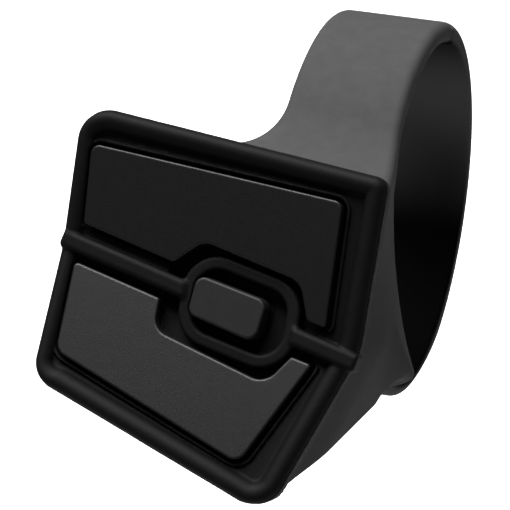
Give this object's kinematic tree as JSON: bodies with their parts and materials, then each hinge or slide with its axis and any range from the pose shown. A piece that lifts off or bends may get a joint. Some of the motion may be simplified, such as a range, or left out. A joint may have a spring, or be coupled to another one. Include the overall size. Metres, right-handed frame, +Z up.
{
  "type": "handlebar shift switch",
  "caption": "Bar-top electronic shift switch: a ring clamp carries a folded keypad with upper and lower keys split by a diagonal rib and a small centre key in a guard ring.",
  "frame": {"origin": "on the handlebar's axis, in the middle of the clamp band", "axes": "+X along the handlebar, away from the keypad's overhang; -Y towards the rider; +Z up; the keypad faces the rider and 37 degrees up"},
  "size_m": [0.0282, 0.056, 0.0359],
  "materials": {
    "housing_plastic": "fine-grained satin black moulding",
    "boot_rubber": "soft matte black rubber",
    "key_plastic": "fine-grained matte charcoal",
    "frame_plastic": "glass-filled grey moulding",
    "board_laminate": "green solder mask",
    "switch_plastic": "moulded black",
    "plunger_plastic": "ivory moulding",
    "dome_steel": "spring steel",
    "fastener_steel": "stainless steel",
    "chip_resin": "moulded resin",
    "capacitor_ceramic": "fired ceramic with tinned ends",
    "connector_plastic": "natural nylon"
  },
  "bodies": {
    "housing": {"housing": "housing_plastic", "clamp_nut": "fastener_steel", "front_boot": "boot_rubber", "key_frame": "frame_plastic", "frame_screws": "fastener_steel", "circuit_board": "board_laminate", "board_screws": "fastener_steel", "controller_chip": "chip_resin", "board_capacitors": "capacitor_ceramic", "lead_connector": "connector_plastic", "cable_gland": "boot_rubber", "upper_switch_case": "switch_plastic", "upper_switch_dome": "dome_steel", "lower_switch_case": "switch_plastic", "lower_switch_dome": "dome_steel", "centre_switch_case": "switch_plastic", "centre_switch_dome": "dome_steel"},
    "clamp_band": {"clamp_band": "housing_plastic", "screw_washer": "fastener_steel"},
    "clamp_screw": {"clamp_screw": "fastener_steel"},
    "upper_key": {"upper_key": "key_plastic"},
    "upper_plunger": {"upper_switch_plunger": "plunger_plastic"},
    "lower_key": {"lower_key": "key_plastic"},
    "lower_plunger": {"lower_switch_plunger": "plunger_plastic"},
    "centre_key": {"centre_key": "key_plastic"},
    "centre_plunger": {"centre_switch_plunger": "plunger_plastic"}
  },
  "joints": [
    {"name": "clamp_screw_turn", "type": "hinge", "parent": "clamp_band", "child": "clamp_screw", "pos_m": [-0.0032, -0.01645, -0.01352], "axis": [0, 0.7986, -0.6018], "range_deg": [0, 720]},
    {"name": "band_hinge", "type": "hinge", "parent": "housing", "child": "clamp_band", "pos_m": [0, 0.00896, 0.01433], "axis": [1, 0, 0], "range_deg": [0, 1.38]},
    {"name": "upper_key_press", "type": "slide", "parent": "housing", "child": "upper_key", "axis": [0, 0.7986, -0.6018], "range_m": [0, 0.0005], "stiffness_N_per_m": 400, "springref_m": -0.0005},
    {"name": "upper_plunger_slide", "type": "slide", "parent": "housing", "child": "upper_plunger", "axis": [0, 0.7986, -0.6018], "range_m": [0, 0.0005]},
    {"name": "lower_key_press", "type": "slide", "parent": "housing", "child": "lower_key", "axis": [0, 0.7986, -0.6018], "range_m": [0, 0.0005], "stiffness_N_per_m": 400, "springref_m": -0.0005},
    {"name": "lower_plunger_slide", "type": "slide", "parent": "housing", "child": "lower_plunger", "axis": [0, 0.7986, -0.6018], "range_m": [0, 0.0005]},
    {"name": "centre_key_press", "type": "slide", "parent": "housing", "child": "centre_key", "axis": [0, 0.7986, -0.6018], "range_m": [0, 0.0005], "stiffness_N_per_m": 400, "springref_m": -0.0005},
    {"name": "centre_plunger_slide", "type": "slide", "parent": "housing", "child": "centre_plunger", "axis": [0, 0.7986, -0.6018], "range_m": [0, 0.0005]}
  ],
  "couplings": [
    {"joint": "band_hinge", "follows": "clamp_screw_turn", "ratio": 0.001908},
    {"joint": "upper_plunger_slide", "follows": "upper_key_press", "ratio": 1},
    {"joint": "lower_plunger_slide", "follows": "lower_key_press", "ratio": 1},
    {"joint": "centre_plunger_slide", "follows": "centre_key_press", "ratio": 1}
  ]
}
